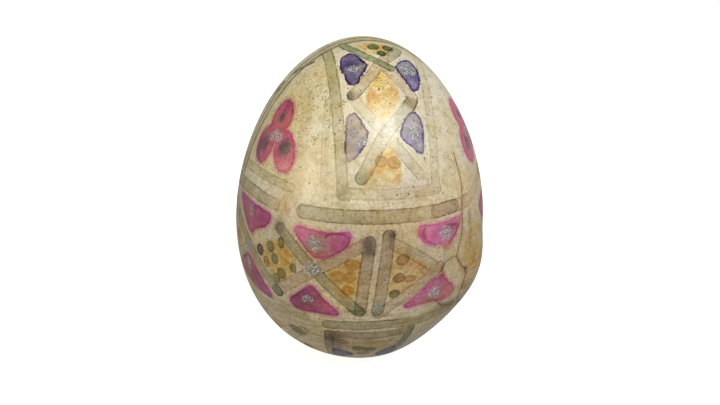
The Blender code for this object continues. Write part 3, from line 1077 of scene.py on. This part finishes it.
def noise(tree, place, size_mm, detail=3.0, roughness=0.55):
    inputs = {"Vector": place, "Scale": cells(size_mm), "Detail": detail, "Roughness": roughness}
    return add(tree, "ShaderNodeTexNoise", None, inputs).outputs["Fac"]


def stored(tree, name, output="Fac"):
    return add(tree, "ShaderNodeAttribute", {"attribute_name": name}).outputs[output]


def dotted(tree, place, size_mm, randomness):
    """A dot in each of many cells: the distance from it, and three numbers drawn for its cell."""
    inputs = {"Vector": place, "Scale": cells(size_mm), "Randomness": randomness}
    pattern = add(tree, "ShaderNodeTexVoronoi", {"feature": "F1"}, inputs)
    drawn = add(tree, "ShaderNodeSeparateColor", None, {"Color": pattern.outputs["Color"]})
    return pattern.outputs["Distance"], drawn.outputs


def new_material(name):
    """A material, its node tree and its shader."""
    material = bpy.data.materials.new(name)
    material.use_nodes = True
    return material, material.node_tree, material.node_tree.nodes["Principled BSDF"]


# %% [markdown]
# The bare shell is built up from noise of several sizes, the way the real one is uneven: clouds of a
# centimetre, blotches of one to three millimetres, wipe marks that run round the egg low down, and a
# grain that is drawn a little coarser than the real pores, so that it shows. The specks are the middles of
# cells, kept where a number drawn for the cell is below how thickly they lie there.

# %% Mix the bare shell
WIPE_STRETCH = (0.35, 0.35, 2.2)


def speckled(tree, under, place, size_mm, smallest, largest, share, code):
    """Round specks on a colour: one at most in each cell, of a size and with a chance drawn for the cell."""
    gap, drawn = dotted(tree, place, size_mm, 1.0)
    kept = maths(tree, "LESS_THAN", drawn["Red"], share)
    size = ramp(tree, drawn["Green"], 0.0, 1.0, smallest, largest)
    inside = ramp(tree, maths(tree, "SUBTRACT", gap, size), 0.08, -0.06)
    depth = maths(tree, "MULTIPLY", maths(tree, "MULTIPLY", kept, inside), drawn["Blue"])
    return mix(tree, "MULTIPLY", depth, under, code)


def bare_shell(tree, place):
    """The shell's colour, with clouds, blotches, wipe marks, grain, specks, stains and painted shade."""
    height = add(tree, "ShaderNodeSeparateXYZ", None, {"Vector": place}).outputs["Z"]
    low_down = ramp(tree, height, 30.0 * MM, 16.0 * MM)
    unwiped = ramp(tree, height, 42.0 * MM, 30.0 * MM, 0.5, 1.0)
    stretched = add(tree, "ShaderNodeVectorMath", {"operation": "MULTIPLY"}, {0: place, 1: WIPE_STRETCH})
    marks = stretched.outputs["Vector"]
    clouds = ramp(tree, noise(tree, place, 9.0), 0.38, 0.62)
    base = mix(tree, "MIX", clouds, "#DDD2B0", "#DCD6C4")
    for vector, size_mm, roughness, low, high, where, code in (
        (place, 2.4, 0.60, 0.42, 0.68, 1.0, "#F4EFE4"),
        (marks, 1.6, 0.60, 0.46, 0.66, low_down, "#E4DDD0"),
        (place, 1.1, 0.65, 0.44, 0.66, 1.0, "#ECEADA"),
        (place, 0.4, 0.75, 0.38, 0.64, unwiped, "#DDD7CA"),
    ):
        uneven = ramp(tree, noise(tree, vector, size_mm, 4.0, roughness), low, high)
        base = mix(tree, "MULTIPLY", maths(tree, "MULTIPLY", where, uneven), base, code)
    crowd = stored(tree, "specks")
    base = speckled(tree, base, place, 0.60, 0.08, 0.28, crowd, "#74603C")
    base = speckled(tree, base, place, 0.32, 0.14, 0.40, crowd, "#9A8A64")
    # Stains and painted shade multiply the shell's colour.
    return mix(tree, "MULTIPLY", 1.0, base, stored(tree, "stain_and_shade", "Color"))


# %% [markdown]
# One function lays any dye on the shell. Twice as much dye lets through the square of what it lets
# through once, so the amount of dye is the power to which its colour is raised, and a Gamma node does
# just that. Blurred, ragged, thick or thin, the layers differ only in a few numbers, in mm where they
# are widths.

# %% Lay a dye on the shell
AMBER = {"soft": 0.30, "ragged": 0.38, "thinnest": 0.15, "rim": 0.25, "rim_width": 0.50, "patch": 0.9}
WASH = {"soft": 0.08, "ragged": 0.11, "thinnest": 0.66, "rim": 1.50, "rim_width": 0.32, "patch": 1.7}
RING = {"soft": 0.14, "ragged": 0.20, "thinnest": 0.80, "rim": 1.00, "rim_width": 0.36, "patch": 1.7}
PETAL = {"soft": 0.14, "ragged": 0.20, "thinnest": 0.55, "rim": 0.75, "rim_width": 0.50, "patch": 1.7}
BLOT = {"soft": 0.08, "ragged": 0.24, "thinnest": 0.55, "rim": 2.00, "rim_width": 0.40, "patch": 1.7}


def ragged_edge(tree, name, place, amount, *texture):
    """A layer's stored distance, made larger and smaller by a noise of that size, detail and roughness."""
    wander = maths(tree, "SUBTRACT", noise(tree, place, *texture), 0.5)
    return maths(tree, "MULTIPLY_ADD", wander, amount, stored(tree, name + "_edge"))


def filtered(tree, under, name, amount):
    """The colour under, seen through a layer's dye: its colour to the power of how much lies there."""
    dye = {"Color": stored(tree, name + "_dye", "Color"), "Gamma": amount}
    return mix(tree, "MULTIPLY", 1.0, under, add(tree, "ShaderNodeGamma", None, dye).outputs["Color"])


def dyed(tree, under, name, place, habit):
    """The colour under a layer of dye, laid on in that habit; noise strays by about a quarter either way."""
    edge = ragged_edge(tree, name, place, 4.0 * habit["ragged"], 0.9, 4.0, 0.7)
    cover = ramp(tree, edge, habit["soft"], -habit["soft"])
    body = ramp(tree, noise(tree, place, habit["patch"], 4.0, 0.6), 0.32, 0.64, habit["thinnest"], 1.0)
    gathered = ramp(tree, edge, -habit["rim_width"], -0.3 * habit["rim_width"])
    patchy = ramp(tree, noise(tree, place, 2.1, 2.0), 0.32, 0.62, 0.25 * habit["rim"], habit["rim"])
    amount = maths(tree, "MULTIPLY", cover, maths(tree, "MULTIPLY_ADD", gathered, patchy, body))
    return filtered(tree, under, name, amount)


def bled(tree, under, name, reach, amount):
    """A faint bleed of dye round a layer's edge."""
    near = ramp(tree, stored(tree, name + "_edge"), reach, 0.0)
    return filtered(tree, under, name, maths(tree, "MULTIPLY", near, amount))


# %% [markdown]
# Silver glitter is aluminium on film, cut into grains and set in glue. The grains are drawn as dots of a
# tenth or two of a millimetre: some catch the light and some look away from it, so their brightness is
# drawn at random, cell by cell, and they are part metal.

# %% Put the layers together
GRAIN_SPACING = 0.23
METAL_SHARE = 0.35


def glitter(tree, under, place):
    """Silver grains in greyish glue over the colour under: the new colour, and how much of it is metal."""
    cover = ramp(tree, ragged_edge(tree, "silver", place, 1.4, 0.6, 3.0, 0.6), 0.15, -0.35)
    gap, drawn = dotted(tree, place, GRAIN_SPACING, 0.9)
    grain = maths(tree, "MULTIPLY", ramp(tree, gap, 0.52, 0.34), cover)
    bright = maths(tree, "MULTIPLY", grain, ramp(tree, drawn["Red"], 0.25, 0.60))
    dull = maths(tree, "MULTIPLY", grain, ramp(tree, drawn["Green"], 0.6, 0.8, 0.0, 0.6))
    shown = mix(tree, "MIX", maths(tree, "MULTIPLY", cover, 0.50), under, "#78756A")
    shown = mix(tree, "MIX", dull, shown, "#66676A")
    shown = mix(tree, "MIX", bright, shown, filtered(tree, "#D8DCDA", "silver", 1.0))
    return shown, maths(tree, "MULTIPLY", bright, METAL_SHARE)


def dyed_eggshell():
    """Calcite eggshell under water-based dyes, with a silky gloss."""
    material, tree, shader = new_material("dyed_eggshell")
    place = add(tree, "ShaderNodeTexCoord").outputs["Object"]
    shown = bare_shell(tree, place)
    for name, habit in (("amber", AMBER), ("early", WASH), ("late", WASH), ("ring", RING), ("blot", BLOT)):
        shown = dyed(tree, shown, name, place, habit)
    shown = bled(tree, shown, "petal", 0.75, 0.42)
    shown = dyed(tree, shown, "petal", place, PETAL)
    crack_edge = stored(tree, "crack_edge")
    shown = mix(tree, "MULTIPLY", ramp(tree, crack_edge, 0.8, 0.0, 0.0, 0.35), shown, "#D9B98C")
    shown = mix(tree, "MULTIPLY", ramp(tree, crack_edge, 0.12, -0.04), shown, "#A4814C")
    shown, metal = glitter(tree, shown, place)
    tree.links.new(shown, shader.inputs["Base Color"])
    tree.links.new(metal, shader.inputs["Metallic"])
    gloss = ramp(tree, noise(tree, place, 1.3, 4.0, 0.6), 0.3, 0.7, 0.28, 0.42)
    tree.links.new(gloss, shader.inputs["Roughness"])
    pits = noise(tree, place, 0.35, 3.0, 0.6)
    bump = add(tree, "ShaderNodeBump", None, {"Strength": 0.24, "Distance": 0.05 * MM, "Height": pits})
    tree.links.new(bump.outputs["Normal"], shader.inputs["Normal"])
    shader.inputs["IOR"].default_value = 1.5
    return material


mesh.materials.append(dyed_eggshell())
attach(egg, "root")
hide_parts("egg")
print("material nodes:", len(mesh.materials[0].node_tree.nodes))

# %% [markdown]
# ## Floor and light
#
# The egg stands on a plain floor that is as white as the photograph's background. It glows faintly, so
# that it stays white all over, and it is hidden from the rays that would carry its light to the egg.

# %% Lay the floor
FLOOR_REACH = 4.0
FLOOR_GLOW = 0.8


def plain_floor():
    """One square face at the height of the egg's flat spot, in a pale matt paint that glows faintly."""
    corners = FLOOR_REACH * np.array(((-1.0, -1.0, 0.0), (1.0, -1.0, 0.0), (1.0, 1.0, 0.0), (-1.0, 1.0, 0.0)))
    floor_mesh = bpy.data.meshes.new("floor")
    floor_mesh.from_pydata(corners.tolist(), [], [(0, 1, 2, 3)])
    material, _, shader = new_material("pale_floor_paint")
    shader.inputs["Base Color"].default_value = colour("#DCDCDA")
    shader.inputs["Roughness"].default_value = 0.9
    shader.inputs["Emission Color"].default_value = (1.0, 1.0, 1.0, 1.0)
    shader.inputs["Emission Strength"].default_value = FLOOR_GLOW
    floor_mesh.materials.append(material)
    floor = add_object("floor", floor_mesh)
    floor.visible_diffuse = False
    floor.visible_glossy = False
    return floor


plain_floor()
print("floor, m:", 2.0 * FLOOR_REACH)

# %% [markdown]
# Where a highlight sits on the egg tells where its lamp stands, because the shell mirrors the lamp
# there: one lamp is high in front on the right, and a weaker one low on the left. The room round them is
# dimmer than it looks: a Light Path node tells the world which rays come straight from the camera, and
# only those see it as white as the floor.

# %% Hang the lamps
LAMP_DISTANCE, LAMP_SIZE = 0.60, 0.17
ROOM_LIGHT, ROOM_SEEN = 0.38, 1.2


def softbox(name, azimuth, elevation, power, code):
    """A square lamp at an angle round and above the egg's middle, facing it."""
    lamp = bpy.data.lights.new(name, "AREA")
    lamp.size = LAMP_SIZE
    lamp.energy = power
    lamp.color = linear(code)
    add_object(name, lamp).matrix_world = aimed(azimuth, elevation, LAMP_DISTANCE)


softbox("right_softbox", 33.0, 47.0, 3.05, "#F6FAFF")
softbox("left_softbox", -46.0, 12.0, 1.15, "#FFFAF0")
print("lamps:", LAMP_SIZE, "m square,", LAMP_DISTANCE, "m from the egg")

world = bpy.data.worlds.new("studio")
world.use_nodes = True
background = world.node_tree.nodes["Background"]
background.inputs["Color"].default_value = colour("#FFFCF5")
straight_on = add(world.node_tree, "ShaderNodeLightPath").outputs["Is Camera Ray"]
strength = ramp(world.node_tree, straight_on, 0.0, 1.0, ROOM_LIGHT, ROOM_SEEN)
world.node_tree.links.new(strength, background.inputs["Strength"])
bpy.context.scene.world = world
bpy.context.scene.view_settings.view_transform = "Standard"
